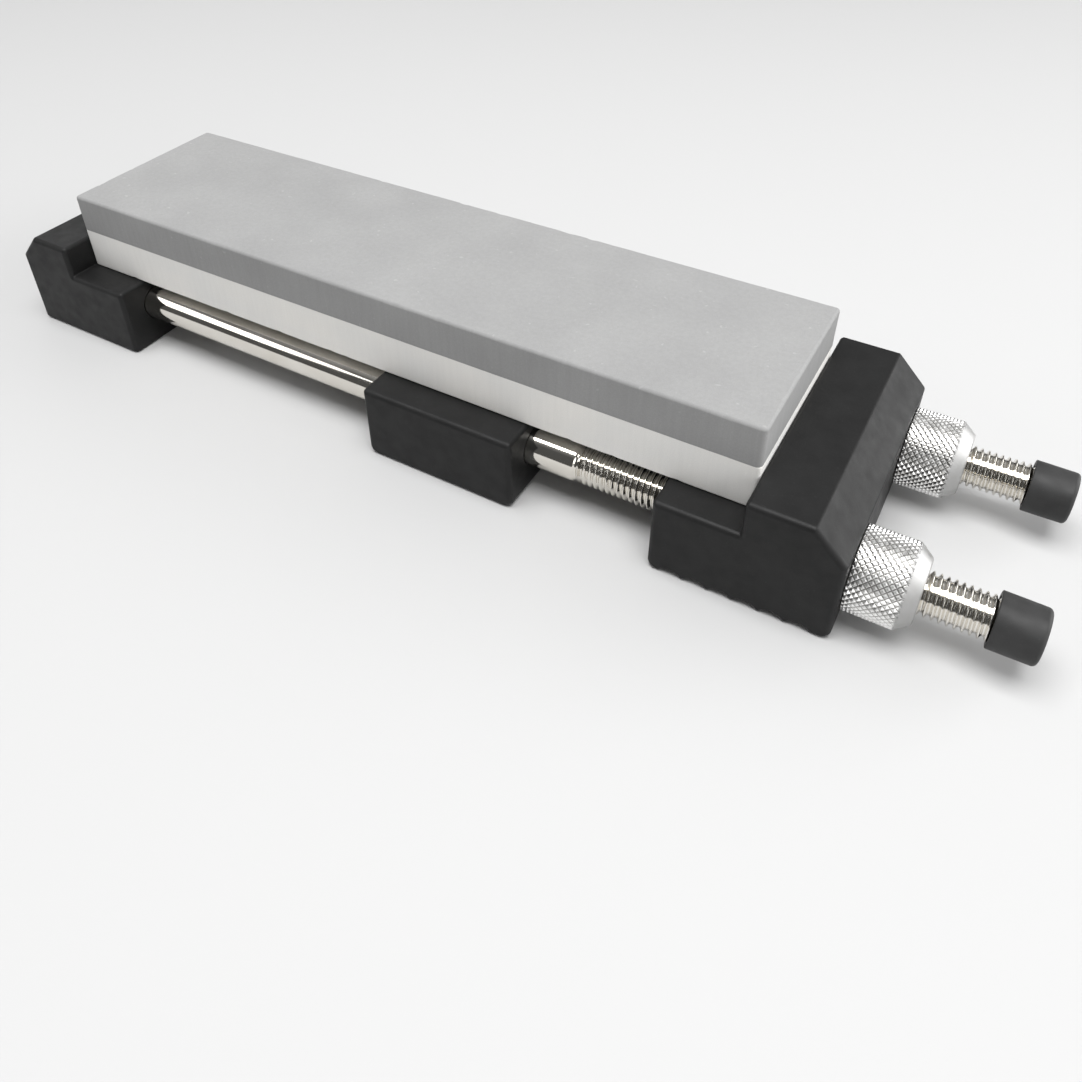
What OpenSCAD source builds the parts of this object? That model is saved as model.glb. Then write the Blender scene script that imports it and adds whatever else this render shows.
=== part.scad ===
/* [Stone] */
// Length of the stone between the two stops
stone_l = 203.2; // [190:0.1:208]
// Width of the stone
stone_w = 50.8; // [40:0.1:60]
// Thickness of the grey upper layer
upper_t = 10.5; // [5:0.1:15]
// Thickness of the off-white lower layer
lower_t = 11.7; // [5:0.1:15]
// Bevel along the upper edges of the upper layer
stone_bevel = 1.0; // [0.2:0.1:3]
// Bevel along the lower edges of the lower layer
stone_foot_bevel = 0.6; // [0.5:0.1:2]
// Gap between each end of the stone and its stop
stone_gap = 0.05; // [0:0.01:0.3]

/* [Rubber blocks] */
// Width of the three blocks, across the rods
block_w = 68; // [64:0.5:80]
// Height of the shelves that the stone lies on
shelf_h = 20.2; // [19:0.1:26]
// Length of the fixed jaw's shelf
fixed_shelf = 19.6; // [16:0.1:24]
// Thickness of the fixed jaw's stop
fixed_stop = 20.4; // [17:0.1:26]
// Height of the fixed jaw's stop above its shelf
fixed_rise = 9.0; // [7:0.1:11]
// Chamfer of the fixed jaw's stop, horizontal and vertical
fixed_chamfer = 7.0; // [4:0.1:9]
// Length of the moving jaw's shelf
moving_shelf = 19.9; // [16:0.1:24]
// Thickness of the moving jaw's stop
moving_stop = 22.2; // [17:0.1:26]
// Height of the moving jaw's stop above its shelf
moving_rise = 9.3; // [7:0.1:11]
// Chamfer of the moving jaw's stop, horizontal and vertical
moving_chamfer = 7.6; // [4:0.1:9]
// Length of the middle support along the rods
mid_l = 42.5; // [30:0.5:60]
// Distance from the fixed stop to the middle support
mid_x = 105; // [60:1:110]
// Gap between the middle support and the stone
mid_gap = 0.1; // [0.05:0.05:0.5]
// Thickness of the rubber over the cores
skin = 2.5; // [2:0.1:4]
// Radius of the moulded edges
edge_r = 1.0; // [0.3:0.1:2]
// Radius of the lower edges of the two sliding blocks
sole_r = 2.0; // [0.3:0.1:2.4]

/* [Ribbed sole] */
// Number of grooves across the moving jaw's sole
groove_n = 6; // [3:1:6]
// Distance between grooves
groove_pitch = 5.9; // [5.5:0.1:5.9]
// Distance from the jaw's inner face to the first groove
groove_start = 5.7; // [5.5:0.1:6.5]
// Depth of the grooves
groove_depth = 1.2; // [0.3:0.1:1.2]
// Radius of the grooves
groove_r = 3.3; // [2:0.1:3.4]

/* [Rods] */
// Diameter of the smooth shank
rod_d = 10.2; // [10:0.05:10.5]
// Major diameter of the M10 thread
thread_d = 9.9; // [9:0.05:10]
// Distance between the two rods
rod_pitch = 44.2; // [42:0.1:46]
// Height of the rods above the base
rod_h = 11.9; // [11.5:0.1:13]
// Distance from the fixed stop to the start of the thread
thread_x = 160.7; // [150:0.1:175]
// Depth of the rod behind the fixed stop's face
rod_socket = 12; // [8:0.5:14]
// Radial clearance of the sliding bores on the shank
bore_gap = 0.05; // [0.02:0.01:0.1]
// Distance of the cross pins behind the fixed stop's face
pin_back = 6; // [4:0.5:8]
// Diameter of the cross pins
pin_d = 4; // [2:0.5:5]
// Length of the cross pins
pin_l = 18; // [16:0.5:20]

/* [Nuts, washers and caps] */
// Outside diameter of the nuts
nut_d = 19.3; // [17:0.1:22]
// Length of the nuts' knurled band
nut_grip = 11; // [8:0.1:14]
// Axial length of the nuts' end chamfer
nut_cone = 3.1; // [1:0.1:5]
// Diameter of the nuts' end face
nut_end_d = 14.5; // [13:0.1:17]
// Gap between a nut and its washer
nut_gap = 0.05; // [0.02:0.01:0.2]
// Outside diameter of the thrust washers
washer_d = 18; // [16:0.5:19]
// Thickness of the thrust washers
washer_t = 1.6; // [1:0.1:2]
// Free thread between the nuts and the end caps
travel_space = 13.8; // [8:0.1:20]
// Outside diameter of the end caps
cap_d = 12.3; // [11.5:0.1:15]
// Length of the end caps
cap_l = 9.6; // [7:0.1:14]
// Thickness of the end caps' closed end
cap_wall = 2.1; // [1:0.1:3]

/* [Hidden] */
$fn = 64;
arc_steps = 6;
over = 1;
// Radius in the inner corner between shelf and stop, which the stone's lower bevel clears
root_r = 0.3;
// Smallest radius of the cores' upper corners
core_least_r = 0.3;
// Play of the nuts on the thread, across their diameter
nut_play = 0.1;

// Places along the rods, counted from the fixed stop's inner face
moving_x = stone_l - moving_shelf;
jaw_end_x = stone_l + moving_stop;
nut_x = jaw_end_x + nut_gap;
cap_x = nut_x + nut_grip + nut_cone + travel_space;
rod_end_x = cap_x + cap_l - cap_wall;
// The row's origin is the middle of the whole length, on the base
mid_of_length = (cap_x + cap_l - fixed_stop) / 2;

bore_d = rod_d + 2 * bore_gap;
nut_bore_d = thread_d + nut_play;
core_w = block_w - 2 * skin;
near = -rod_pitch / 2;
far = rod_pitch / 2;

rubber = [0.13, 0.13, 0.135];
core_grey = [0.55, 0.56, 0.58];
chrome = [0.82, 0.83, 0.84];
steel = [0.7, 0.71, 0.72];
stone_grey = [0.66, 0.66, 0.65];
stone_white = [0.88, 0.87, 0.84];

// Places a piece that is drawn from the fixed stop's face into the row's frame
module along(x = 0) {
    translate([x - mid_of_length, 0, 0]) children();
}

// A round bar along X at one of the rods
module bar(x0, x1, y, d) {
    translate([x0, y, rod_h]) rotate([0, 90, 0]) cylinder(d = d, h = x1 - x0);
}

// The same along both rods
module bars(x0, x1, d) {
    for (y = [near, far]) bar(x0, x1, y, d);
}

function unit(v) = v / norm(v);

// The corner at b of an outline, rounded by an arc of radius r
function corner(a, b, c, r) =
    let (
        u = unit(a - b),
        v = unit(c - b),
        half = acos(u * v) / 2,
        centre = b + unit(u + v) * r / sin(half),
        from = b + u * r / tan(half) - centre,
        turn = (180 - 2 * half) * sign(cross(c - b, a - b))
    )
    [for (i = [0:arc_steps])
        let (t = turn * i / arc_steps)
        centre + [from.x * cos(t) - from.y * sin(t), from.x * sin(t) + from.y * cos(t)]];

// An outline of points [x, z, radius], with every corner rounded
function rounded(p) =
    let (n = len(p), at = function(i) [p[(i + n) % n].x, p[(i + n) % n].y])
    [for (i = [0:n - 1]) each corner(at(i - 1), at(i), at(i + 1), p[i][2])];

// Side view of a jaw: stop, shelf and chamfer, shrunk on all sides by t
function jaw_outline(shelf, stop, rise, chamfer, t, lower_r) =
    let (
        top = shelf_h + rise - t,
        slope = t * (1 - tan(22.5)),
        r = max(edge_r - t, core_least_r)
    )
    [
        [-stop + t, t, lower_r],
        [shelf - t, t, lower_r],
        [shelf - t, shelf_h - t, r],
        [-t, shelf_h - t, root_r + t],
        [-t, top, r],
        [-stop + chamfer + slope, top, r],
        [-stop + t, top - chamfer + t - slope, r],
    ];

// A side view drawn in X and Z, made into a solid of width w
module side(outline, w) {
    translate([0, w / 2, 0]) rotate([90, 0, 0]) linear_extrude(w) polygon(rounded(outline));
}

module fixed_outline(t, w, lower_r) {
    side(jaw_outline(fixed_shelf, fixed_stop, fixed_rise, fixed_chamfer, t, lower_r), w);
}

module moving_outline(t, w, lower_r) {
    translate([stone_l, 0, 0]) mirror([1, 0, 0])
        side(jaw_outline(moving_shelf, moving_stop, moving_rise, moving_chamfer, t, lower_r), w);
}

module mid_outline(t, w, lower_r) {
    side([
        [mid_x + t, t, lower_r],
        [mid_x + mid_l - t, t, lower_r],
        [mid_x + mid_l - t, shelf_h - mid_gap - t, max(edge_r - t, core_least_r)],
        [mid_x + t, shelf_h - mid_gap - t, max(edge_r - t, core_least_r)],
    ], w);
}

// The raised pads of the moving jaw's core, which the washers lie on
module washer_pads(extra = 0) {
    bars(jaw_end_x - skin - over, jaw_end_x - washer_t + extra, washer_d);
}

// Grooves across the moving jaw's sole
module sole_grooves() {
    for (i = [0:groove_n - 1])
        translate([moving_x + groove_start + i * groove_pitch, 0, groove_depth - groove_r])
            rotate([90, 0, 0]) cylinder(r = groove_r, h = block_w + 2 * over, center = true);
}

// The holes of the two cross pins, which are driven in from below the core
module pin_holes() {
    for (y = [near, far])
        translate([-pin_back, y, skin]) cylinder(d = pin_d, h = pin_l);
}

module fixed_jaw_cover() color(rubber) along() difference() {
    fixed_outline(0, block_w, edge_r);
    fixed_outline(skin, core_w, edge_r);
    bars(0, fixed_shelf + over, rod_d);
}

module fixed_jaw_core() color(core_grey) along() difference() {
    fixed_outline(skin, core_w, edge_r);
    bars(-rod_socket, fixed_shelf + over, rod_d);
    pin_holes();
}

module rod_pin(y) color(steel) along(-pin_back) {
    tip = 0.4;
    translate([0, y, skin]) rotate_extrude() polygon([
        [0, 0], [pin_d / 2 - tip, 0], [pin_d / 2, tip],
        [pin_d / 2, pin_l - tip], [pin_d / 2 - tip, pin_l], [0, pin_l],
    ]);
}

module rod(y) color(chrome) along() {
    tip = 1;
    difference() {
        union() {
            bar(-rod_socket, thread_x, y, rod_d);
            bar(thread_x - over, rod_end_x - tip, y, thread_d);
            translate([rod_end_x - tip, y, rod_h]) rotate([0, 90, 0])
                cylinder(d1 = thread_d, d2 = thread_d - 2 * tip, h = tip);
        }
        pin_holes();
    }
}

module mid_support_cover() color(rubber) along() difference() {
    mid_outline(0, block_w, sole_r);
    mid_outline(skin, core_w, edge_r);
    bars(mid_x - over, mid_x + mid_l + over, bore_d);
}

module mid_support_core() color(core_grey) along() difference() {
    mid_outline(skin, core_w, edge_r);
    bars(mid_x, mid_x + mid_l, bore_d);
}

module moving_jaw_cover() color(rubber) along() difference() {
    moving_outline(0, block_w, sole_r);
    moving_outline(skin, core_w, edge_r);
    bars(moving_x - over, stone_l, bore_d);
    washer_pads(washer_t + over);
    sole_grooves();
}

module moving_jaw_core() color(core_grey) along() difference() {
    union() {
        moving_outline(skin, core_w, edge_r);
        washer_pads();
    }
    bars(moving_x, jaw_end_x, bore_d);
}

module thrust_washer(y) color(steel) along() difference() {
    bar(jaw_end_x - washer_t, jaw_end_x, y, washer_d);
    bar(jaw_end_x - washer_t - over, jaw_end_x + over, y, bore_d);
}

module nut(y) color(chrome) along(nut_x) {
    lip = 0.4;
    mouth = 0.8;
    translate([0, y, rod_h]) rotate([0, 90, 0]) rotate_extrude() polygon([
        [nut_bore_d / 2 + mouth, 0],
        [nut_d / 2 - lip, 0],
        [nut_d / 2, lip],
        [nut_d / 2, nut_grip],
        [nut_end_d / 2, nut_grip + nut_cone],
        [nut_bore_d / 2 + mouth, nut_grip + nut_cone],
        [nut_bore_d / 2, nut_grip + nut_cone - mouth],
        [nut_bore_d / 2, mouth],
    ]);
}

module end_cap(y) color(rubber) along(cap_x) {
    translate([0, y, rod_h]) rotate([0, 90, 0]) difference() {
        rotate_extrude() difference() {
            union() {
                square([cap_d / 2, cap_l - edge_r]);
                square([cap_d / 2 - edge_r, cap_l]);
                translate([cap_d / 2 - edge_r, cap_l - edge_r]) circle(r = edge_r);
            }
            translate([-cap_d, 0]) square([cap_d, cap_l + over]);
        }
        translate([0, 0, -over]) cylinder(d = thread_d, h = cap_l - cap_wall + over);
    }
}

// Cross-section of a stone layer of width w and height t, bevelled by foot below and by top above
module layer_section(w, t, foot, top) {
    polygon([
        [-w / 2, foot], [-w / 2 + foot, 0], [w / 2 - foot, 0], [w / 2, foot],
        [w / 2, t - top], [w / 2 - top, t], [-w / 2 + top, t], [-w / 2, t - top],
    ]);
}

// One layer of the stone, standing at height z
module stone_layer(z, t, foot, top) {
    l = stone_l - 2 * stone_gap;
    translate([stone_l / 2, 0, z]) intersection() {
        rotate([90, 0, 0]) linear_extrude(stone_w, center = true) layer_section(l, t, foot, top);
        rotate([90, 0, 90]) linear_extrude(l, center = true) layer_section(stone_w, t, foot, top);
    }
}

module stone_upper() color(stone_grey) along()
    stone_layer(shelf_h + lower_t, upper_t, 0, stone_bevel);

module stone_lower() color(stone_white) along()
    stone_layer(shelf_h, lower_t, stone_foot_bevel, 0);

fixed_jaw_cover();
fixed_jaw_core();
rod(near);  // rod_near
rod(far);  // rod_far
rod_pin(near);  // rod_pin_near
rod_pin(far);  // rod_pin_far
mid_support_cover();
mid_support_core();
moving_jaw_cover();
moving_jaw_core();
thrust_washer(near);  // thrust_washer_near
thrust_washer(far);  // thrust_washer_far
nut(near);  // nut_near
nut(far);  // nut_far
end_cap(near);  // end_cap_near
end_cap(far);  // end_cap_far
stone_upper();
stone_lower();
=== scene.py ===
"""Looks of the adjustable sharpening stone holder: rubber blocks on two chrome rods, and its stone."""

import math
import random

import bmesh
import bpy
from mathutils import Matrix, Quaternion, Vector, noise


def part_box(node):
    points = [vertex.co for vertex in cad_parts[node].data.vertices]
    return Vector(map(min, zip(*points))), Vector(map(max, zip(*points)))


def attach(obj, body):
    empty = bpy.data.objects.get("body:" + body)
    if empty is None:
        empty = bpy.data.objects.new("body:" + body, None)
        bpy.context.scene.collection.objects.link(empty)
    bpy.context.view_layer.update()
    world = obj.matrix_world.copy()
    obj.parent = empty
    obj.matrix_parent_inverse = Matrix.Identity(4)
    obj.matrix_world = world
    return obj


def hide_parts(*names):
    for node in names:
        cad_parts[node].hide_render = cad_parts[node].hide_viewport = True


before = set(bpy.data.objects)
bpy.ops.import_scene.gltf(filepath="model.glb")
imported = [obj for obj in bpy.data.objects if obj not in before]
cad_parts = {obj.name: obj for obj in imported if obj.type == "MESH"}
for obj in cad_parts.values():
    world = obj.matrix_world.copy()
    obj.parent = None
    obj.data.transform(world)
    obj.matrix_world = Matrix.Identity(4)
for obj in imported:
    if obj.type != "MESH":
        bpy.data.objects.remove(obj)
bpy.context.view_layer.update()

# ---------------------------------------------------------------- sizes, in millimetres

MM = 0.001
SHARP = 0.04          # the smallest radius that a moulded corner is drawn with
ARC_STEPS = 7         # faces across each rounded corner of an outline
END_STEPS = 6         # faces across the rounded edges round a block's ends

# Rubber blocks
EDGE_R = 1.0          # moulded edges
ROOT_R = 0.3          # inner corner between shelf and stop
END_R = 1.3           # edges round the two ends of each block
SOLE_R = 2.0          # lower edges of the sliding blocks
SKIN = 2.5            # rubber over the cores
CAVITY_R = 0.3        # corners of the space that a core fills
FIXED_CHAMFER = 7.0
MOVING_CHAMFER = 7.6
LIP = 0.45            # flare where a rod goes into the rubber
LIP_WAIST = 0.3       # share of the flare that is left this far into it
BORE_GAP = 0.05       # between a rod and the rubber that slides on it

# Ribbed sole of the sliding jaw: ribs and grooves are arcs that meet at GROOVE_SLOPE
GROOVES = 6
GROOVE_PITCH = 5.9
GROOVE_START = 5.7    # from the jaw's inner face to the first groove's middle
GROOVE_R = 3.3
RIB_R = 0.925
GROOVE_SLOPE = math.radians(44.2)
SOLE_TOP = 4.0        # everything below this height belongs to the sole
SOLE_END_SHARE = 0.65  # share of the rounding at a block's two ends that its sole gets

# Rods and their M10 thread
THREAD_X = 160.7      # from the fixed stop to the thread
THREAD_PITCH = 1.5
THREAD_CREST_R = 4.9
THREAD_ROOT_R = 4.08
NECK_R = 4.5          # between shank and thread
NECK_LENGTH = 0.5
NECK_STEP = 0.3       # sheer part of the step from shank to neck
SHANK_EDGE = 0.35     # rounding of the shank's two ends
THREAD_RUN_OUT = 0.8  # share of the pitch over which the thread reaches its full depth
ROD_END_R = 4.0
ROD_END_LENGTH = 1.0  # over which the thread narrows to the rod's end
ROUND = 72            # faces round a rod, a nut or a cap
# One thread, from crest to crest: share of the pitch, and share of the height above the root
THREAD_OUTLINE = (
    (-0.10, 0.95), (-0.05, 1.0), (0.05, 1.0), (0.10, 0.95),
    (0.34, 0.07), (0.42, 0.0), (0.58, 0.0), (0.66, 0.07),
)

# Knurled nuts
KNURLS = 38
KNURL_PITCH = 1.57
KNURL_DEPTH = 0.30
KNURL_LAND = 0.28     # share of each diamond that is left flat on top
NUT_CONE = 3.1
NUT_END_R = 7.25
NUT_LIP = 0.4
NUT_MOUTH = 0.8       # countersink at both ends of the bore
NUT_EDGE_R = 0.9      # between cone and end face
NUT_SHOULDER_R = 2.6  # between knurled band and cone
NUT_THREAD_GAP = 0.06
NUT_TRIM = 0.15       # by which the turned outline clears the knurl's flat tops
NUT_FACE_R = 0.1      # edges of the face that bears on the washer

# End caps
CAP_TAPER = 0.1       # by which the closed end's radius is smaller
CAP_GAP = 0.04        # between the cap and the thread's crests
CAP_FLOOR_GAP = 0.02  # between the cap's floor and the rod's end
CAP_MOUTH_R = 0.25    # outer edge of the open end
CAP_MOUTH_INNER_R = 0.2
CAP_FLOOR_R = 0.1

# Stone
ARRIS_R = 0.8         # worn upper edges of the grey layer
GREY_CORNER_R = 1.4   # its upright corner nearest the viewer, at the clamping jaw
SMALL_CORNER_R = 1.0  # every other upright corner of both layers
FOOT_R = 0.6          # lower edges of the off-white layer
GREY_BOND_R = 0.08    # edges of the two layers where they are bonded
WHITE_BOND_R = 0.05
STONE_GAP = 0.05      # between each end of the stone and its stop
STONE_STEP = 0.8      # distance between points along the stone's edges
STONE_UNEVEN = 0.22   # share by which the wear along an edge varies
STONE_WAVE = 5        # distance over which it varies
CHIPS = 16            # small chips along the worn upper edges
CHIP_REACH = (0.7, 1.6)
CHIP_BITE = (0.1, 0.3)


def box(node):
    """Lowest and highest corner of a CAD node, in millimetres."""
    low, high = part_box(node)
    return low / MM, high / MM


white_low, white_high = box("stone_lower")
rod_low, rod_high = box("rod_near")
fixed_stop_x = white_low.x - STONE_GAP
moving_stop_x = white_high.x + STONE_GAP
shelf_z = white_low.z
rod_r = (rod_high.z - rod_low.z) / 2
rod_z = (rod_high.z + rod_low.z) / 2
rod_y = {side: sum(corner.y for corner in box("rod_" + side)) / 2 for side in ("near", "far")}
thread_x = fixed_stop_x + THREAD_X

# ---------------------------------------------------------------- meshes


def solid(name, faces):
    """A mesh object from faces that list their points in millimetres. Equal points are merged."""
    index, points, polygons = {}, [], []
    for face in faces:
        polygon = []
        for point in face:
            key = tuple(round(value, 4) for value in point)
            if key not in index:
                index[key] = len(points)
                points.append(Vector(point) * MM)
            if index[key] not in polygon:
                polygon.append(index[key])
        if len(polygon) > 2:
            polygons.append(polygon)
    mesh = bpy.data.meshes.new(name)
    mesh.from_pydata(points, [], polygons)
    mesh.validate()
    faces_out = bmesh.new()
    faces_out.from_mesh(mesh)
    bmesh.ops.recalc_face_normals(faces_out, faces=faces_out.faces)
    faces_out.to_mesh(mesh)
    faces_out.free()
    obj = bpy.data.objects.new(name, mesh)
    bpy.context.scene.collection.objects.link(obj)
    return obj


def apply_modifiers(obj):
    """Makes the modified mesh the object's own."""
    graph = bpy.context.evaluated_depsgraph_get()
    mesh = bpy.data.meshes.new_from_object(obj.evaluated_get(graph))
    obj.modifiers.clear()
    obj.data = mesh


def carve(obj, cutters, operation="DIFFERENCE"):
    """Cuts obj with each cutter in turn, and removes the cutters."""
    for cutter in cutters:
        boolean = obj.modifiers.new("cut", "BOOLEAN")
        boolean.operation = operation
        boolean.solver = "EXACT"
        boolean.object = cutter
    apply_modifiers(obj)
    for cutter in cutters:
        bpy.data.objects.remove(cutter)


def shade(obj, angle=35):
    """Smooth shading that keeps edges sharper than angle and leaves flat faces flat."""
    obj.data.shade_smooth()
    obj.data.set_sharp_from_angle(angle=math.radians(angle))
    weighted = obj.modifiers.new("normals", "WEIGHTED_NORMAL")
    weighted.keep_sharp = True
    apply_modifiers(obj)


def inset(corners, depth, least=SHARP, sole_share=1.0):
    """Corners (x, y, radius) of an anticlockwise outline, with every side moved inwards by depth.

    The sides along the ground move by sole_share of it.
    """
    moved = []
    for i, (x, y, radius) in enumerate(corners):
        before, after = corners[i - 1], corners[(i + 1) % len(corners)]
        here = Vector((x, y))
        arriving = (here - Vector(before[:2])).normalized()
        leaving = (Vector(after[:2]) - here).normalized()
        inward_a = Vector((-arriving.y, arriving.x))
        inward_b = Vector((-leaving.y, leaving.x))
        depth_a = depth * (sole_share if max(y, before[1]) < SOLE_TOP else 1)
        depth_b = depth * (sole_share if max(y, after[1]) < SOLE_TOP else 1)
        turn = inward_a.dot(inward_b)
        place = here + (
            inward_a * (depth_a - depth_b * turn) + inward_b * (depth_b - depth_a * turn)
        ) / (1 - turn ** 2)
        less = min(depth_a, depth_b)
        convex = arriving.cross(leaving) > 0
        moved.append((place.x, place.y, max(radius - less if convex else radius + less, least)))
    return moved


def rounded(corners):
    """Points of an outline, with an arc at each corner, or one point where its radius is 0."""
    points = []
    for i, (x, y, radius) in enumerate(corners):
        here = Vector((x, y))
        if radius == 0:
            points.append(here)
            continue
        back = (Vector(corners[i - 1][:2]) - here).normalized()
        ahead = (Vector(corners[(i + 1) % len(corners)][:2]) - here).normalized()
        half = back.angle(ahead) / 2
        centre = here + (back + ahead).normalized() * radius / math.sin(half)
        spoke = here + back * radius / math.tan(half) - centre
        turn = math.copysign(math.pi - 2 * half, ahead.cross(back))
        for step in range(ARC_STEPS + 1):
            angle = turn * step / ARC_STEPS
            points.append(centre + Vector((
                spoke.x * math.cos(angle) - spoke.y * math.sin(angle),
                spoke.x * math.sin(angle) + spoke.y * math.cos(angle),
            )))
    return points


def loft(rings):
    """Faces of a closed body through rings of the same number of 3-D points."""
    yield list(reversed(rings[0]))
    for lower, upper in zip(rings, rings[1:]):
        for i in range(len(lower)):
            j = (i + 1) % len(lower)
            yield [lower[i], lower[j], upper[j], upper[i]]
    yield rings[-1]


def lathe(outline, y, z, closed=True):
    """Faces of an (x, radius) outline turned about a line along X at y and z."""
    def place(point, column):
        angle = 2 * math.pi * (column % ROUND) / ROUND
        return (point[0], y + point[1] * math.cos(angle), z + point[1] * math.sin(angle))

    for i, here in enumerate(outline if closed else outline[:-1]):
        after = outline[(i + 1) % len(outline)]
        if here[1] == 0 and after[1] == 0:
            continue
        for k in range(ROUND):
            yield [place(here, k), place(after, k), place(after, k + 1), place(here, k + 1)]


# ---------------------------------------------------------------- shapes


def quarter(steps):
    """Angles over a quarter turn."""
    return [math.pi / 2 * step / steps for step in range(steps + 1)]


def block_rings(corners, low_y, high_y):
    """Rings of a block drawn in X and Z, from low_y to high_y, with its end edges rounded."""
    ends = [(END_R * (1 - math.cos(a)), END_R * (1 - math.sin(a))) for a in quarter(END_STEPS)]
    places = [(low_y + along, depth) for depth, along in reversed(ends)]
    places += [(high_y - along, depth) for depth, along in ends]
    return [
        [(p.x, y, p.y) for p in rounded(inset(corners, depth, sole_share=SOLE_END_SHARE))]
        for y, depth in places
    ]


def jaw_corners(stop_x, end_x, outer_x, top_z, chamfer, lower_r, sole=()):
    """Side view of a jaw: its stop is at stop_x, its shelf runs to end_x, its back is at outer_x."""
    toward = math.copysign(1, outer_x - stop_x)
    corners = [
        (outer_x, 0, lower_r),
        *sole,
        (end_x, 0, lower_r),
        (end_x, shelf_z, EDGE_R),
        (stop_x, shelf_z, ROOT_R),
        (stop_x, top_z, EDGE_R),
        (outer_x - toward * chamfer, top_z, EDGE_R),
        (outer_x, top_z - chamfer, EDGE_R),
    ]
    return corners if toward < 0 else corners[::-1]


def sole_corners(first_x):
    """Ribs and grooves across the sole, listed from +X to -X: each groove is two shoulders and a root."""
    tangent = GROOVE_R * math.tan(GROOVE_SLOPE) + RIB_R * math.tan(GROOVE_SLOPE / 2)
    half_width = tangent * math.cos(GROOVE_SLOPE)
    corners = []
    for i in reversed(range(GROOVES)):
        x = first_x + i * GROOVE_PITCH
        corners.append((x + half_width, 0, RIB_R))
        corners.append((x, half_width * math.tan(GROOVE_SLOPE), GROOVE_R))
        corners.append((x - half_width, 0, RIB_R))
    return corners


def rod_bore(from_x, to_x, y, radius, flared):
    """A cutter for a rod's hole in the rubber, flared where it comes out at each x in flared."""
    past = 1.0
    waist = LIP * LIP_WAIST
    outline = [(from_x - past, 0), (from_x - past, radius)]
    if from_x in flared:
        outline[1] = (from_x - past, radius + LIP)
        outline += [(from_x, radius + LIP), (from_x + waist, radius + waist)]
        outline.append((from_x + LIP, radius))
    if to_x in flared:
        outline.append((to_x - LIP, radius))
        outline += [(to_x - waist, radius + waist), (to_x, radius + LIP)]
        outline.append((to_x + past, radius + LIP))
    else:
        outline.append((to_x + past, radius))
    outline.append((to_x + past, 0))
    return solid("cutter", lathe(outline, y, rod_z))


def rubber_block(name, node, corners, flat_soled, bores):
    """A hollow moulded block: corners is its outside, flat_soled the same without a ribbed sole."""
    low, high = box(node)
    block = solid(name, loft(block_rings(corners, low.y, high.y)))
    cavity = inset(flat_soled, SKIN, CAVITY_R)
    hollow = [
        [(p.x, y, p.y) for p in rounded(cavity)]
        for y in (low.y + SKIN, high.y - SKIN)
    ]
    carve(block, [solid("cutter", loft(hollow)), *bores])
    shade(block)
    return block


def fixed_jaw():
    low, high = box("fixed_jaw_cover")
    corners = jaw_corners(fixed_stop_x, high.x, low.x, high.z, FIXED_CHAMFER, EDGE_R)
    bores = [rod_bore(high.x - SKIN, high.x, y, rod_r, [high.x]) for y in rod_y.values()]
    return rubber_block("fixed_jaw_rubber", "fixed_jaw_cover", corners, corners, bores)


def mid_support():
    low, high = box("mid_support_cover")
    corners = [
        (low.x, 0, SOLE_R), (high.x, 0, SOLE_R),
        (high.x, high.z, EDGE_R), (low.x, high.z, EDGE_R),
    ]
    bores = [
        rod_bore(low.x, high.x, y, rod_r + BORE_GAP, [low.x, high.x]) for y in rod_y.values()
    ]
    return rubber_block("mid_support_rubber", "mid_support_cover", corners, corners, bores)


def moving_jaw():
    low, high = box("moving_jaw_cover")
    shape = (moving_stop_x, low.x, high.x, high.z, MOVING_CHAMFER, SOLE_R)
    sole = sole_corners(low.x + GROOVE_START)
    washer_low, washer_high = box("thrust_washer_near")
    washer_r = (washer_high.z - washer_low.z) / 2
    bores = []
    for y in rod_y.values():
        bores.append(rod_bore(low.x, low.x + SKIN, y, rod_r + BORE_GAP, [low.x]))
        bores.append(rod_bore(high.x - SKIN, high.x, y, washer_r, []))
    return rubber_block(
        "moving_jaw_rubber", "moving_jaw_cover",
        jaw_corners(*shape, sole), jaw_corners(*shape), bores,
    )


def between(x, x0, x1):
    """0 up to x0, 1 from x1 on, and a straight line between them."""
    return min(max((x - x0) / (x1 - x0), 0), 1)


def thread(x0, x1, y, grow, limits):
    """Faces of an open right-hand thread from x0 to x1. limits(x) gives its least and most radius.

    Its phase is counted from the rods' thread_x, so that a nut's thread meshes with its rod's.
    """
    rows_a_turn = len(THREAD_OUTLINE)
    first = math.floor((x0 - thread_x) / THREAD_PITCH) - 1
    turns = math.ceil((x1 - x0) / THREAD_PITCH) + 3

    def place(row, column):
        row += rows_a_turn * (column // ROUND)
        column %= ROUND
        share, height = THREAD_OUTLINE[row % rows_a_turn]
        turn = first + row // rows_a_turn + column / ROUND
        x = min(max(thread_x + (turn + share) * THREAD_PITCH, x0), x1)
        least, most = limits(x)
        radius = THREAD_ROOT_R + (THREAD_CREST_R - THREAD_ROOT_R) * height + grow
        radius = min(max(radius, least), most)
        angle = 2 * math.pi * column / ROUND
        return (x, y + radius * math.cos(angle), rod_z + radius * math.sin(angle))

    for row in range(turns * rows_a_turn):
        for k in range(ROUND):
            yield [place(row, k), place(row + 1, k), place(row + 1, k + 1), place(row, k + 1)]


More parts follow.
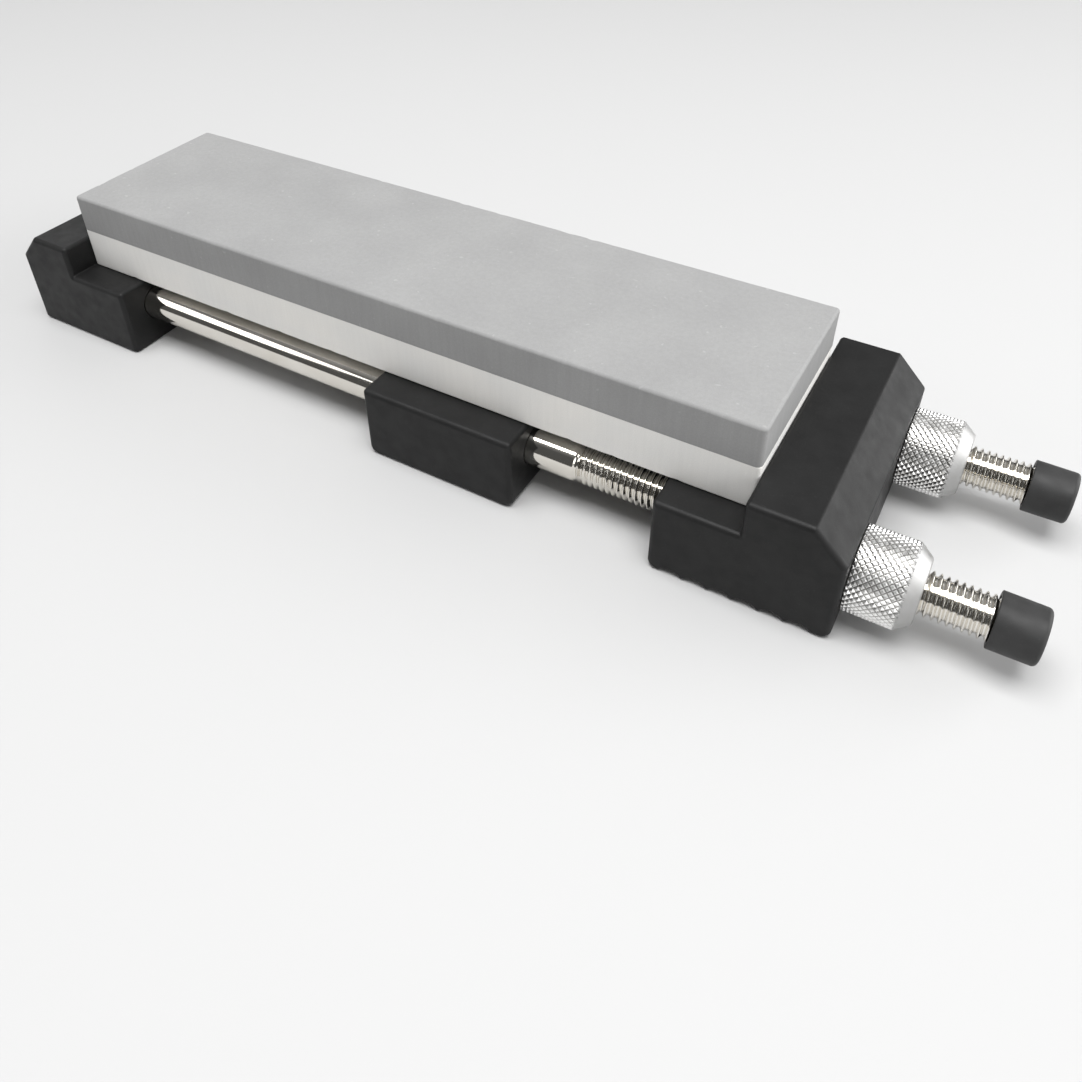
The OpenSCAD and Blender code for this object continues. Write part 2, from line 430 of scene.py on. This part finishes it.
def rod_with_thread(side):
    """A smooth shank, a neck, and a thread that runs out towards both its ends."""
    low, high = box("rod_" + side)
    y = rod_y[side]
    neck_x = thread_x - NECK_LENGTH
    shank = [
        (low.x, 0), (low.x, rod_r - SHANK_EDGE), (low.x + SHANK_EDGE, rod_r),
        (neck_x - SHANK_EDGE, rod_r), (neck_x, rod_r - NECK_STEP),
        (neck_x + 0.2, NECK_R + 0.05), (thread_x, NECK_R),
    ]

    def limits(x):
        start = between(x, thread_x, thread_x + THREAD_RUN_OUT * THREAD_PITCH)
        end = between(x, high.x - ROD_END_LENGTH, high.x)
        least = NECK_R + (THREAD_ROOT_R - NECK_R) * start
        most = NECK_R + (THREAD_CREST_R - NECK_R) * start
        most += (ROD_END_R - most) * end
        return min(least, most), most

    def faces():
        yield from lathe(shank, y, rod_z, closed=False)
        yield from thread(thread_x, high.x, y, 0, limits)
        yield from lathe([(high.x, ROD_END_R), (high.x, 0)], y, rod_z, closed=False)

    bar = solid(f"rod_{side}_chrome", faces())
    pin_low, pin_high = box("rod_pin_" + side)
    pin_x, pin_r = (pin_low.x + pin_high.x) / 2, (pin_high.x - pin_low.x) / 2
    rings = [
        [
            (pin_x + pin_r * math.cos(a), y + pin_r * math.sin(a), z)
            for a in (2 * math.pi * k / ROUND for k in range(ROUND))
        ]
        for z in (pin_low.z - 1, pin_high.z + 1)
    ]
    carve(bar, [solid("cutter", loft(rings))])
    shade(bar, angle=50)
    return bar


def knurled_blank(x0, x1, y, outer_r):
    """Faces of a closed cylinder of flat-topped diamonds that reaches past x0 and x1.

    The diamonds lie between two families of grooves. Steps count half a diamond round the nut,
    and rows half a diamond along it.
    """
    x0 -= KNURL_PITCH
    last_row = math.ceil((x1 - x0) / KNURL_PITCH * 2) + 2

    def place(step, row, radius):
        angle = math.pi * (step % (2 * KNURLS)) / KNURLS
        x = x0 + KNURL_PITCH * row / 2
        return (x, y + radius * math.cos(angle), rod_z + radius * math.sin(angle))

    for row in range(last_row + 1):
        for step in range(row % 2, 2 * KNURLS, 2):
            around = ((-1, 0), (0, 1), (1, 0), (0, -1))
            root = [place(step + 1 + a, row + b, outer_r - KNURL_DEPTH) for a, b in around]
            land = [
                place(step + 1 + a * KNURL_LAND, row + b * KNURL_LAND, outer_r) for a, b in around
            ]
            yield land
            for i in range(4):
                j = (i + 1) % 4
                yield [root[i], root[j], land[j], land[i]]
            if row == 0:
                axis = (x0 - KNURL_PITCH, y, rod_z)
                yield from ([root[0], root[3], axis], [root[3], root[2], axis])
            if row == last_row:
                axis = (x0 + KNURL_PITCH * (last_row / 2 + 1), y, rod_z)
                yield from ([root[0], root[1], axis], [root[1], root[2], axis])


def knurled_nut(side):
    low, high = box("nut_" + side)
    y = rod_y[side]
    outer_r = (high.z - low.z) / 2
    bore_r = THREAD_CREST_R + NUT_THREAD_GAP
    body_r = outer_r + NUT_TRIM
    slope = (outer_r - NUT_END_R) / NUT_CONE
    lip = NUT_LIP + body_r - outer_r
    body = [
        (low.x, 0, 0), (high.x, 0, 0), (high.x, NUT_END_R, NUT_EDGE_R),
        (high.x - (body_r - NUT_END_R) / slope, body_r, NUT_SHOULDER_R),
        (low.x + lip, body_r, NUT_FACE_R), (low.x, body_r - lip, NUT_FACE_R),
    ]
    past = 2 * THREAD_PITCH
    x0, x1 = low.x - past, high.x + past

    def limits(x):
        return (bore_r, bore_r) if x in (x0, x1) else (0, bore_r)

    def bore():
        yield from lathe([(x0, 0), (x0, bore_r)], y, rod_z, closed=False)
        yield from thread(x0, x1, y, NUT_THREAD_GAP, limits)
        yield from lathe([(x1, bore_r), (x1, 0)], y, rod_z, closed=False)

    def mouth(x, inward):
        wide = bore_r + NUT_MOUTH
        return lathe([
            (x - inward, 0), (x - inward, wide), (x, wide), (x + inward * NUT_MOUTH, bore_r),
            (x + inward * NUT_MOUTH, 0),
        ], y, rod_z)

    nut = solid(f"nut_{side}_knurled", knurled_blank(low.x, high.x, y, outer_r))
    carve(nut, [solid("cutter", lathe([tuple(p) for p in rounded(body)], y, rod_z))], "INTERSECT")
    carve(nut, [
        solid("cutter", bore()),
        solid("cutter", mouth(low.x, 1)),
        solid("cutter", mouth(high.x, -1)),
    ])
    shade(nut, angle=24)
    return nut


def end_cap(side):
    """A moulded cap with a soft edge, a little narrower towards its closed end."""
    low, high = box("end_cap_" + side)
    outer_r = (high.z - low.z) / 2
    cavity_r = THREAD_CREST_R + CAP_GAP
    inner_x = box("rod_" + side)[1].x + CAP_FLOOR_GAP
    outline = rounded([
        (inner_x, 0, 0), (high.x, 0, 0), (high.x, outer_r - CAP_TAPER, EDGE_R),
        (low.x, outer_r, CAP_MOUTH_R), (low.x, cavity_r, CAP_MOUTH_INNER_R),
        (inner_x, cavity_r, CAP_FLOOR_R),
    ])
    cap = solid(f"cap_{side}_rubber", lathe([tuple(p) for p in outline], rod_y[side], rod_z))
    shade(cap)
    return cap


def spread(outline, step):
    """The same closed outline with points no more than step apart."""
    points = []
    for i, here in enumerate(outline):
        after = outline[(i + 1) % len(outline)]
        parts = max(1, math.ceil((after - here).length / step))
        points += [here.lerp(after, part / parts) for part in range(parts)]
    return points


def outward(outline):
    """The direction out of an anticlockwise outline at each of its points."""
    directions = []
    for i in range(len(outline)):
        along = outline[(i + 1) % len(outline)] - outline[i - 1]
        directions.append(Vector((along.y, -along.x)).normalized())
    return directions


def stone_layer(name, node, corner_r, foot_r, arris_r, seed):
    """A ground slab. Its upright corners, foot and arris are rounded, uneven, and a little chipped."""
    low, high = box(node)
    plan = spread(rounded([
        (low.x, low.y, SMALL_CORNER_R), (high.x, low.y, corner_r),
        (high.x, high.y, SMALL_CORNER_R), (low.x, high.y, SMALL_CORNER_R),
    ]), STONE_STEP)
    directions = outward(plan)
    dice = random.Random(seed)
    straight = [here for here, away in zip(plan, directions) if max(abs(away.x), abs(away.y)) > 0.999]
    chips = [
        (dice.choice(straight), dice.uniform(*CHIP_REACH), dice.uniform(*CHIP_BITE))
        for _ in range(CHIPS)
    ]

    def ring(z, radius, angle):
        """One ring at this angle of the rounded edge: 0 is the upright side, a quarter turn the flat."""
        points = []
        for here, away in zip(plan, directions):
            uneven = 1 + STONE_UNEVEN * noise.noise(Vector((here.x, here.y, seed)) / STONE_WAVE)
            depth = radius * (1 - math.cos(angle)) * uneven
            for place, reach, bite in chips:
                if angle and radius:
                    depth += bite * max(0, 1 - ((here - place).length / reach) ** 2)
            points.append((here.x - away.x * depth, here.y - away.y * depth, z))
        return points

    angles = quarter(steps=5)
    rings = [ring(low.z + foot_r * (1 - math.sin(a)), foot_r, a) for a in reversed(angles)]
    rings += [ring(high.z - arris_r * (1 - math.sin(a)), arris_r, a) for a in angles]
    slab = solid(name, loft(rings))
    shade(slab, angle=60)
    return slab


# ---------------------------------------------------------------- materials


class Finish:
    """A Principled material whose textures are measured in millimetres on the piece itself."""

    def __init__(self, name, **constants):
        self.material = bpy.data.materials.new(name)
        self.material.use_nodes = True
        self.tree = self.material.node_tree
        self.surface = self.tree.nodes["Principled BSDF"]
        for socket, value in constants.items():
            self.surface.inputs[socket.replace("_", " ")].default_value = value
        self.place = self.add("ShaderNodeTexCoord").outputs["Object"]

    def add(self, kind, **settings):
        node = self.tree.nodes.new(kind)
        for setting, value in settings.items():
            setattr(node, setting, value)
        return node

    def link(self, output, target):
        self.tree.links.new(output, target)

    def noise(self, size, detail, stretch=(1, 1, 1)):
        """Noise with grains of about size millimetres, longer by stretch along X, Y and Z."""
        mapping = self.add("ShaderNodeMapping")
        mapping.inputs["Scale"].default_value = [1 / (size * MM * along) for along in stretch]
        self.link(self.place, mapping.inputs["Vector"])
        texture = self.add("ShaderNodeTexNoise")
        texture.inputs["Scale"].default_value = 1.0
        texture.inputs["Detail"].default_value = detail
        self.link(mapping.outputs["Vector"], texture.inputs["Vector"])
        return texture.outputs["Fac"]

    def ramp(self, value, *stops):
        """A colour ramp through stops of (position, grey or colour)."""
        ramp = self.add("ShaderNodeValToRGB")
        elements = ramp.color_ramp.elements
        while len(elements) < len(stops):
            elements.new(0.5)
        for element, (position, colour) in zip(elements, stops):
            rgb = colour if isinstance(colour, tuple) else (colour, colour, colour)
            element.position = position
            element.color = (*rgb, 1)
        self.link(value, ramp.inputs["Fac"])
        return ramp.outputs["Color"]

    def blend(self, kind, amount, a, b):
        """Mixes this amount of colour b into colour a."""
        mix = self.add("ShaderNodeMix", data_type="RGBA", blend_type=kind)
        mix.inputs[0].default_value = amount
        self.link(a, mix.inputs[6])
        self.link(b, mix.inputs[7])
        return mix.outputs[2]

    def rise(self, value, low, high):
        """0 where value is below low, 1 where it is above high, both in millimetres."""
        ramp = self.add("ShaderNodeMapRange")
        ramp.inputs["From Min"].default_value = low * MM
        ramp.inputs["From Max"].default_value = high * MM
        self.link(value, ramp.inputs["Value"])
        return ramp.outputs["Result"]

    def vector(self, operation, value, constant=(0, 0, 0)):
        """One step of vector arithmetic on value, where constant is its second term, if it has one."""
        step = self.add("ShaderNodeVectorMath", operation=operation)
        step.inputs[1].default_value = constant
        self.link(value, step.inputs[0])
        return step.outputs["Value" if operation == "LENGTH" else "Vector"]

    def colour(self, socket):
        self.link(socket, self.surface.inputs["Base Color"])

    def roughness(self, value, low, high):
        """Roughness from low to high as value goes from 0.3 to 0.7, where noise mostly lies."""
        spread_out = self.add("ShaderNodeMapRange")
        spread_out.inputs["From Min"].default_value = 0.3
        spread_out.inputs["From Max"].default_value = 0.7
        spread_out.inputs["To Min"].default_value = low
        spread_out.inputs["To Max"].default_value = high
        self.link(value, spread_out.inputs["Value"])
        self.link(spread_out.outputs["Result"], self.surface.inputs["Roughness"])
        return spread_out.outputs["Result"]

    def bump(self, *layers):
        """Bumps from layers of (height, depth in millimetres)."""
        normal = None
        for height, depth in layers:
            bump = self.add("ShaderNodeBump")
            bump.inputs["Strength"].default_value = 1.0
            bump.inputs["Distance"].default_value = depth * MM
            self.link(height, bump.inputs["Height"])
            if normal is not None:
                self.link(normal, bump.inputs["Normal"])
            normal = bump.outputs["Normal"]
        self.link(normal, self.surface.inputs["Normal"])


def moulded_rubber(name, dark, light, smooth, rough, grain):
    """Black moulded rubber: a fine grain, cloudy bloom and a few paler specks of dust."""
    finish = Finish(name, IOR=1.5, Specular_IOR_Level=0.31)
    cloud = finish.ramp(finish.noise(9, 3), (0.32, dark), (0.68, light))
    dust = finish.ramp(finish.noise(0.35, 2), (0.66, 0.0), (0.78, 0.045))
    finish.colour(finish.blend("ADD", 0.35, cloud, dust))
    finish.roughness(finish.noise(3.5, 3), smooth, rough)
    finish.bump((finish.noise(6, 1), 0.03), (finish.noise(0.28, 2), grain))
    return finish.material


def chrome_plate():
    """Bright plate over a drawn bar: faint lines along it, fine pits and a breath of haze."""
    finish = Finish("chrome_plate", Metallic=1.0)
    drawn = finish.noise(0.5, 2, stretch=(60, 1, 1))
    haze = finish.noise(7, 3, stretch=(2, 1, 1))
    finish.colour(finish.ramp(haze, (0.3, (0.70, 0.67, 0.61)), (0.7, (0.80, 0.775, 0.725))))
    finish.roughness(haze, 0.05, 0.13)
    finish.bump((drawn, 0.0012), (finish.noise(0.4, 1), 0.0006))
    return finish.material


def satin_nickel():
    """Satin plate on a turned nut: rings round the cone, and painted shade darkening the knurl's grooves
    towards their roots.
    """
    finish = Finish("satin_nickel", Metallic=1.0)
    nut_low, nut_high = box("nut_near")
    outer_r = (nut_high.z - nut_low.z) / 2
    from_axis = finish.vector(
        "SUBTRACT", finish.vector("ABSOLUTE", finish.place), (0, rod_y["far"] * MM, rod_z * MM)
    )
    radius = finish.vector("LENGTH", finish.vector("MULTIPLY", from_axis, (0, 1, 1)))
    # Painted shade: the colour darkens from near the knurl's crests down to the roots of its grooves, but
    # not on the cone
    crest_unshaded = finish.rise(radius, outer_r - KNURL_DEPTH, outer_r - 0.1)
    along = finish.add("ShaderNodeSeparateXYZ")
    finish.link(finish.place, along.inputs[0])
    cone_x = nut_high.x - NUT_CONE
    cone = finish.rise(along.outputs["X"], cone_x - 0.3, cone_x)
    bright = finish.add("ShaderNodeMath", operation="MAXIMUM")
    finish.link(crest_unshaded, bright.inputs[0])
    finish.link(cone, bright.inputs[1])
    rings = finish.noise(0.09, 2, stretch=(1, 60, 60))
    stain = finish.noise(2.2, 3)
    plate = finish.ramp(stain, (0.3, (0.84, 0.835, 0.82)), (0.7, (0.96, 0.957, 0.95)))
    # Painted shade in the knurl's grooves, down to about a quarter of the plate's colour at the roots
    painted_groove_shade = finish.ramp(bright.outputs[0], (0.0, (0.24, 0.233, 0.22)), (0.6, 1.0))
    turned = finish.ramp(cone, (0.0, 1.0), (1.0, 0.485))
    finish.colour(finish.blend("MULTIPLY", 1.0, finish.blend("MULTIPLY", 1.0, plate, painted_groove_shade), turned))
    duller = finish.add("ShaderNodeMath", operation="MULTIPLY_ADD")
    duller.inputs[1].default_value = 0.17
    finish.link(cone, duller.inputs[0])
    finish.link(finish.roughness(stain, 0.24, 0.36), duller.inputs[2])
    finish.link(duller.outputs[0], finish.surface.inputs["Roughness"])
    finish.bump((rings, 0.004))
    return finish.material


def zinc_plate():
    """Dull zinc on the pins and washers, a little blotchy."""
    finish = Finish("zinc_plate", Metallic=1.0)
    blotch = finish.noise(1.4, 4)
    finish.colour(finish.ramp(blotch, (0.3, (0.52, 0.53, 0.55)), (0.7, (0.66, 0.66, 0.65))))
    finish.roughness(blotch, 0.28, 0.45)
    finish.bump((finish.noise(0.2, 2), 0.003))
    return finish.material


def filled_plastic():
    """Glass-filled plastic of the cores: short pale fibres in dark grey."""
    finish = Finish("filled_plastic", IOR=1.5)
    fibres = finish.noise(0.25, 1, stretch=(6, 1, 1))
    finish.colour(finish.ramp(fibres, (0.35, 0.045), (0.62, 0.06), (0.75, 0.12)))
    finish.roughness(finish.noise(2, 2), 0.45, 0.6)
    finish.bump((fibres, 0.01))
    return finish.material


def abrasive(name, dark, light, speck, grain, streak):
    """Bonded grit: fine grain, slow clouds, faint upright grinding marks and pale specks."""
    finish = Finish(name, IOR=1.5)
    cloud = finish.ramp(finish.noise(22, 3), (0.3, dark), (0.7, light))
    grit = finish.ramp(finish.noise(grain, 2), (0.3, 0.90), (0.7, 1.0))
    marks = finish.ramp(finish.noise(1.1, 2, stretch=(1, 1, 14)), (0.3, 1 - streak), (0.7, 1.0))
    body = finish.blend("MULTIPLY", 1.0, finish.blend("MULTIPLY", 1.0, cloud, grit), marks)
    specks = finish.ramp(finish.noise(1.6, 1), (0.73, 0.0), (0.80, speck))
    finish.colour(finish.blend("ADD", 0.5, body, specks))
    finish.roughness(finish.noise(grain * 2, 2), 0.82, 0.95)
    finish.bump((finish.noise(grain, 3), 0.02), (finish.noise(0.9, 2), 0.015))
    return finish.material


def plain(name, colour):
    """One matt colour, for the floor, which isn't part of the object."""
    finish = Finish(name, Roughness=0.9)
    finish.surface.inputs["Base Color"].default_value = (*colour, 1)
    return finish.material


rubber = moulded_rubber("black_rubber", 0.0055, 0.0085, 0.48, 0.60, 0.012)
cap_rubber = moulded_rubber("grey_rubber", 0.021, 0.036, 0.46, 0.60, 0.014)
chrome = chrome_plate()
nickel = satin_nickel()
zinc = zinc_plate()
core_plastic = filled_plastic()
grey_grit = abrasive("grey_grit", (0.283, 0.283, 0.282), (0.314, 0.314, 0.312), 0.10, 0.22, 0.06)
white_grit = abrasive("white_grit", (0.775, 0.77, 0.75), (0.84, 0.822, 0.785), 0.04, 0.20, 0.03)

# ---------------------------------------------------------------- the pieces


def piece(obj, node, body, material):
    """A finished piece: it moves with its body, stands for its CAD node, and has its material."""
    obj.data.materials.clear()
    obj.data.materials.append(material)
    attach(obj, body)
    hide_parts(node)


piece(fixed_jaw(), "fixed_jaw_cover", "base", rubber)
piece(mid_support(), "mid_support_cover", "support", rubber)
piece(moving_jaw(), "moving_jaw_cover", "jaw", rubber)
for side in ("near", "far"):
    piece(rod_with_thread(side), "rod_" + side, "base", chrome)
    piece(knurled_nut(side), "nut_" + side, side + "_nut", nickel)
    piece(end_cap(side), "end_cap_" + side, "base", cap_rubber)
piece(
    stone_layer("stone_grey_layer", "stone_upper", GREY_CORNER_R, GREY_BOND_R, ARRIS_R, seed=3),
    "stone_upper", "stone", grey_grit,
)
piece(
    stone_layer("stone_white_layer", "stone_lower", SMALL_CORNER_R, FOOT_R, WHITE_BOND_R, seed=8),
    "stone_lower", "stone", white_grit,
)

# CAD nodes that are shown as they are, with their materials
KEPT = (
    (core_plastic, ("fixed_jaw_core", "mid_support_core", "moving_jaw_core")),
    (zinc, ("rod_pin_near", "rod_pin_far", "thrust_washer_near", "thrust_washer_far")),
)
for material, names in KEPT:
    for name in names:
        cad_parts[name].data.materials.clear()
        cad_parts[name].data.materials.append(material)

# ---------------------------------------------------------------- floor, light and camera

FLOOR = 0.50                       # how much light the pale floor gives back
FLOOR_SIZE = 1.6                   # metres
FLOOR_DROP = 0.05                  # millimetres below the soles, so that no two faces coincide
SKY_TOP = (0, 0.35, 1)             # the direction in which the sky is brightest
SKY_RISE = (0.4, 0.95)             # from where to where, along that direction, it brightens

# The camera stands above and in front of the clamping jaw's end. Its places are in metres
CAMERA_AT = (0.11645, -0.17564, 0.16966)
CAMERA_AIM = (0.00617, 0.01592, 0.0)
CAMERA_ROLL = math.radians(-0.124)
CAMERA_LENS = 32.57                # millimetres, for a sensor 36 mm wide
CAMERA_SHIFT = (-0.0004, -0.1534)  # shares of the picture's width


def make_floor():
    half = FLOOR_SIZE / 2 / MM
    floor = solid("floor", [[
        (x, y, -FLOOR_DROP) for x, y in ((-half, -half), (half, -half), (half, half), (-half, half))
    ]])
    floor.data.materials.append(plain("pale_floor", (FLOOR, FLOOR, FLOOR)))


def soft_box(name, at, aim, width, height, radiance):
    """A soft rectangular light that shows in reflections as a patch of this radiance."""
    light = bpy.data.lights.new(name, "AREA")
    light.shape = "RECTANGLE"
    light.size = width
    light.size_y = height
    light.energy = radiance * math.pi * width * height
    lamp = bpy.data.objects.new(name, light)
    lamp.location = at
    lamp.rotation_euler = (Vector(aim) - Vector(at)).to_track_quat("-Z", "Y").to_euler()
    bpy.context.scene.collection.objects.link(lamp)


def make_world(low, high, seen):
    """A dim sky, dark low down and towards the viewer, so that metal has something dark to show.

    It goes from low to high. The camera itself sees an even backdrop of brightness seen.
    """
    world = bpy.data.worlds.new("studio")
    bpy.context.scene.world = world
    world.use_nodes = True
    tree = world.node_tree
    sky = tree.nodes["Background"]
    sky.inputs["Color"].default_value = (1, 1, 1, 1)
    direction = tree.nodes.new("ShaderNodeTexCoord")
    height = tree.nodes.new("ShaderNodeVectorMath")
    height.operation = "DOT_PRODUCT"
    height.inputs[1].default_value = SKY_TOP
    ramp = tree.nodes.new("ShaderNodeMapRange")
    ramp.interpolation_type = "SMOOTHSTEP"
    ramp.inputs["From Min"].default_value, ramp.inputs["From Max"].default_value = SKY_RISE
    ramp.inputs["To Min"].default_value = low
    ramp.inputs["To Max"].default_value = high
    behind = tree.nodes.new("ShaderNodeBackground")
    behind.inputs["Color"].default_value = (seen, seen, seen, 1)
    path = tree.nodes.new("ShaderNodeLightPath")
    choose = tree.nodes.new("ShaderNodeMixShader")
    tree.links.new(direction.outputs["Generated"], height.inputs[0])
    tree.links.new(height.outputs["Value"], ramp.inputs["Value"])
    tree.links.new(ramp.outputs["Result"], sky.inputs["Strength"])
    tree.links.new(path.outputs["Is Camera Ray"], choose.inputs[0])
    tree.links.new(sky.outputs[0], choose.inputs[1])
    tree.links.new(behind.outputs[0], choose.inputs[2])
    tree.links.new(choose.outputs[0], tree.nodes["World Output"].inputs["Surface"])


def make_camera():
    camera = bpy.data.cameras.new("camera")
    camera.lens = CAMERA_LENS
    camera.sensor_width = 36
    camera.shift_x, camera.shift_y = CAMERA_SHIFT
    camera.clip_start = 0.01
    holder = bpy.data.objects.new("camera", camera)
    holder.location = CAMERA_AT
    aim = (Vector(CAMERA_AIM) - Vector(CAMERA_AT)).to_track_quat("-Z", "Y")
    holder.rotation_mode = "QUATERNION"
    holder.rotation_quaternion = aim @ Quaternion((0, 0, 1), CAMERA_ROLL)
    bpy.context.scene.collection.objects.link(holder)
    bpy.context.scene.camera = holder


make_floor()
# Each light's place, what it is aimed at, its width and its height, in metres, and its radiance
soft_box("overhead", (0.05, -0.20, 1.15), (0.05, -0.05, 0), 1.1, 0.65, 8.2)
soft_box("left_box", (-1.0, -0.65, 0.7), (0, 0, 0.02), 0.65, 0.42, 2.6)
soft_box("right_box", (1.0, 0.5, 0.42), (0.1, 0, 0.03), 1.2, 0.75, 4.4)
soft_box("front_right_box", (1.0, -0.55, 0.35), (0.1, 0, 0.03), 0.6, 0.5, 2.6)
soft_box("back_left_box", (-1.0, 0.62, 0.56), (-0.1, 0, 0.03), 0.5, 0.4, 2.0)
make_world(low=0.09, high=0.42, seen=0.95)
make_camera()
bpy.context.scene.view_settings.view_transform = "Standard"
